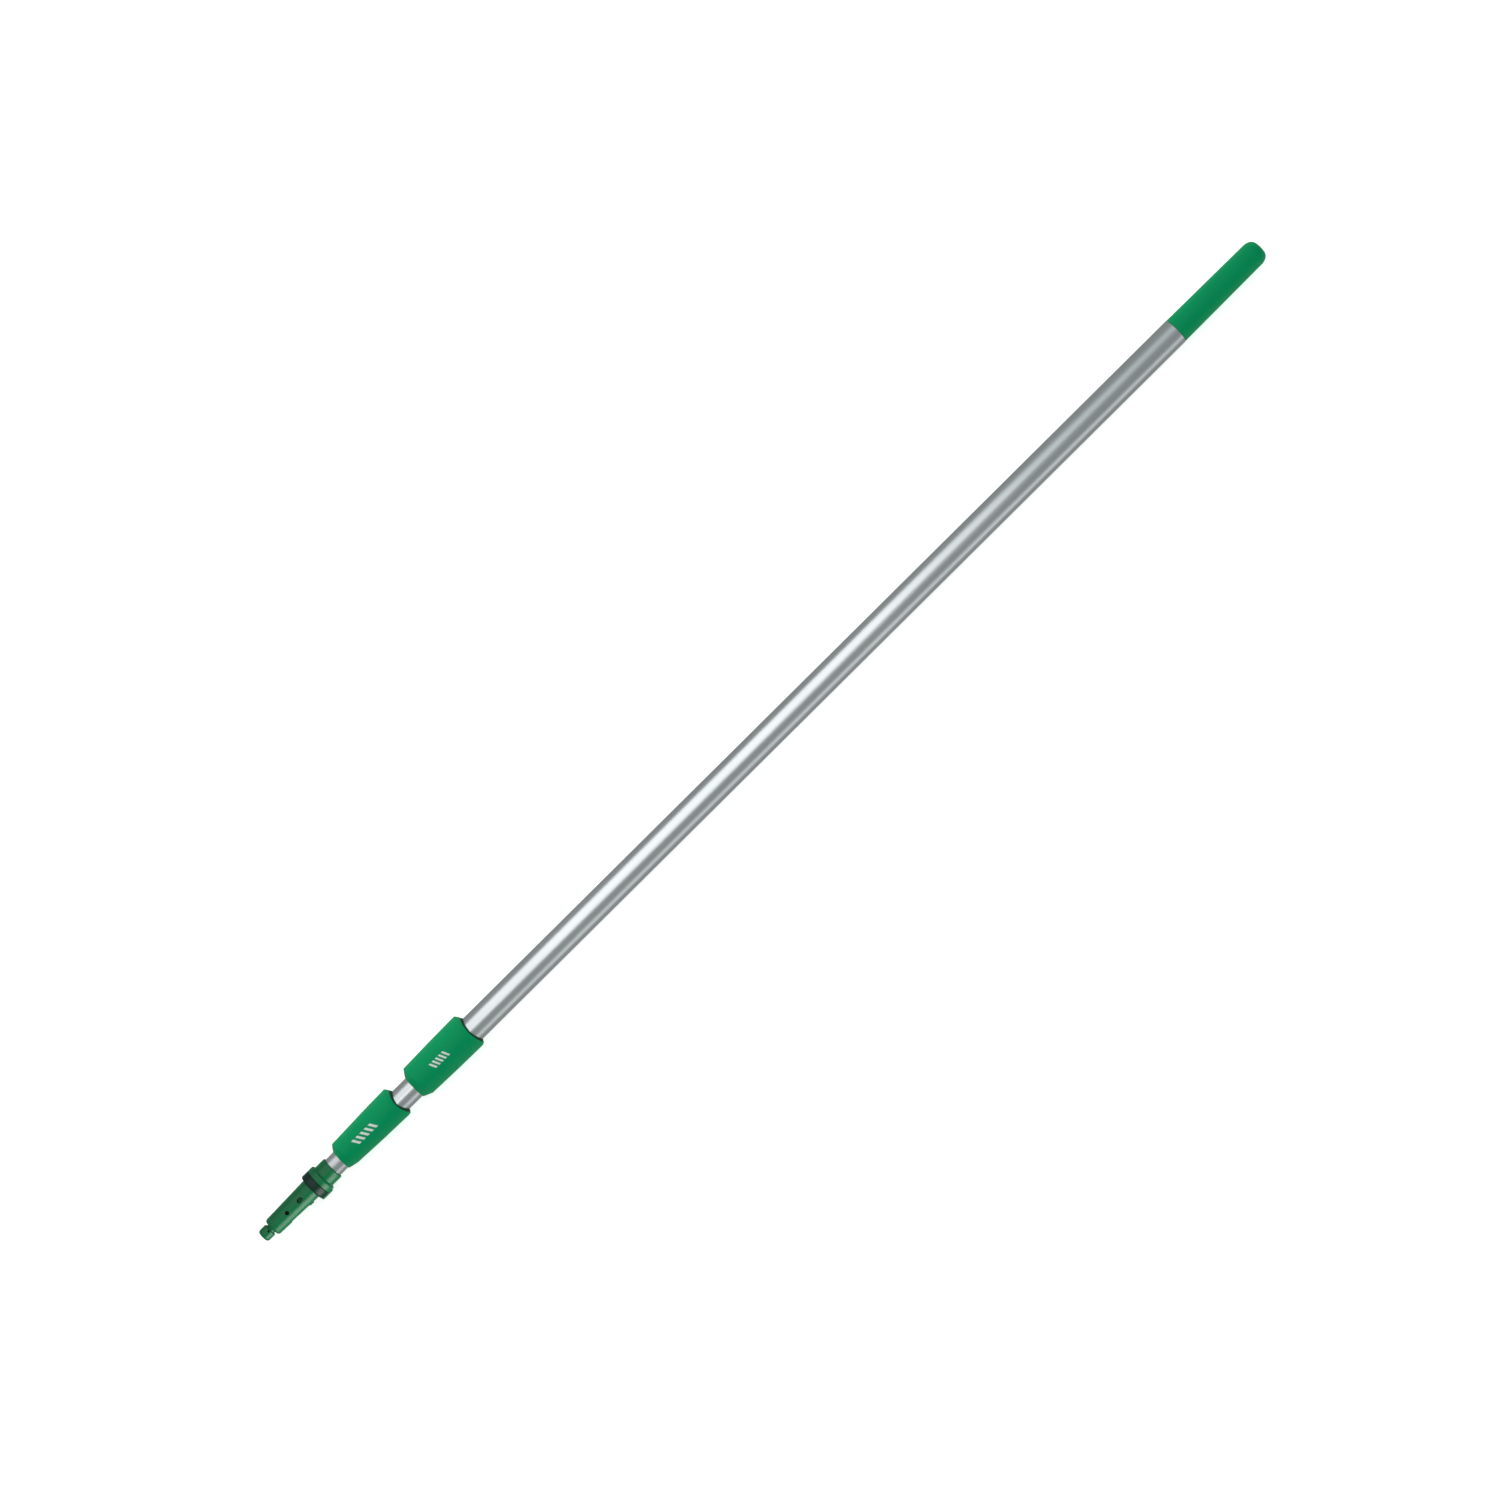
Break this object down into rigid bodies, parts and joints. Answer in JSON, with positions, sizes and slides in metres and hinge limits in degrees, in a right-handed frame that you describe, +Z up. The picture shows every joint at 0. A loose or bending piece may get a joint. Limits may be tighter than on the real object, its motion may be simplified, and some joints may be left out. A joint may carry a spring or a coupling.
{
  "type": "window cleaning pole",
  "caption": "Telescopic pole for window cleaning with twist clamps, a tapered tool cone with a side latch button, and a rounded hand grip.",
  "frame": {"origin": "on the ground under the middle of the collapsed pole, under the centre of the rear clamp sleeve", "axes": "+X along the pole from the tool cone to the hand grip, +Y to the side the clamp sleeves stand out to, +Z up"},
  "size_m": [1.555, 0.0452, 0.0452],
  "materials": {
    "anodised_aluminium": "drawn and clear anodised, satin",
    "green_plastic": "moulded, satin green",
    "dark_green_plastic": "moulded, satin dark green",
    "black_plastic": "moulded, satin black",
    "black_rubber": "matt black",
    "grey_plastic": "moulded, natural grey",
    "bright_steel": "plain bright"
  },
  "bodies": {
    "pole_body": {"outer_tube": "anodised_aluminium", "hand_grip": "green_plastic", "grip_pin": "bright_steel", "rear_clamp_core": "black_plastic", "rear_clamp_retaining_ring": "bright_steel", "rear_clamp_wiper_seal": "black_rubber", "rear_clamp_pin_upper": "bright_steel", "rear_clamp_pin_lower": "bright_steel"},
    "rear_twist_sleeve": {"rear_clamp_sleeve": "green_plastic", "rear_clamp_end_cap": "black_plastic"},
    "rear_brake": {"rear_clamp_brake_shoe": "grey_plastic"},
    "middle_section": {"middle_tube": "anodised_aluminium", "middle_rear_bush": "grey_plastic", "middle_bush_pin": "bright_steel", "front_clamp_core": "black_plastic", "front_clamp_retaining_ring": "bright_steel", "front_clamp_wiper_seal": "black_rubber", "front_clamp_pin_upper": "bright_steel", "front_clamp_pin_lower": "bright_steel"},
    "front_twist_sleeve": {"front_clamp_sleeve": "green_plastic", "front_clamp_end_cap": "black_plastic"},
    "front_brake": {"front_clamp_brake_shoe": "grey_plastic"},
    "inner_section": {"inner_tube": "anodised_aluminium", "inner_rear_bush": "grey_plastic", "inner_bush_pin": "bright_steel", "nose_knob": "green_plastic", "cone_body": "green_plastic", "stop_ring": "black_rubber", "rim_and_pommel": "green_plastic", "cone_pin": "bright_steel", "latch_pivot_pin": "bright_steel", "latch_spring": "bright_steel"},
    "latch": {"latch_lever": "dark_green_plastic", "latch_button": "green_plastic"}
  },
  "joints": [
    {"name": "middle_slide", "type": "slide", "parent": "pole_body", "child": "middle_section", "axis": [-1, 0, 0], "range_m": [0, 1.017]},
    {"name": "inner_slide", "type": "slide", "parent": "middle_section", "child": "inner_section", "axis": [-1, 0, 0], "range_m": [0, 1.102]},
    {"name": "rear_twist", "type": "hinge", "parent": "pole_body", "child": "rear_twist_sleeve", "pos_m": [-0.495, -0.0018, 0.0226], "axis": [1, 0, 0], "range_deg": [0, 100]},
    {"name": "rear_brake_slide", "type": "slide", "parent": "pole_body", "child": "rear_brake", "axis": [0, 1, 0], "range_m": [0, 0.00081]},
    {"name": "front_twist", "type": "hinge", "parent": "middle_section", "child": "front_twist_sleeve", "pos_m": [-0.608, -0.0018, 0.0226], "axis": [1, 0, 0], "range_deg": [0, 100]},
    {"name": "front_brake_slide", "type": "slide", "parent": "middle_section", "child": "front_brake", "axis": [0, 1, 0], "range_m": [0, 0.00081]},
    {"name": "latch_pivot", "type": "hinge", "parent": "inner_section", "child": "latch", "pos_m": [-0.73845, -0.0018, 0.0226], "axis": [0, 0, 1], "range_deg": [0, 2], "stiffness_Nm_per_rad": 2, "springref_deg": -4.58, "deforming": ["latch_spring"]}
  ],
  "couplings": [
    {"joint": "rear_brake_slide", "follows": "rear_twist", "m_per_rad": 0.000458},
    {"joint": "front_brake_slide", "follows": "front_twist", "m_per_rad": 0.000458}
  ]
}
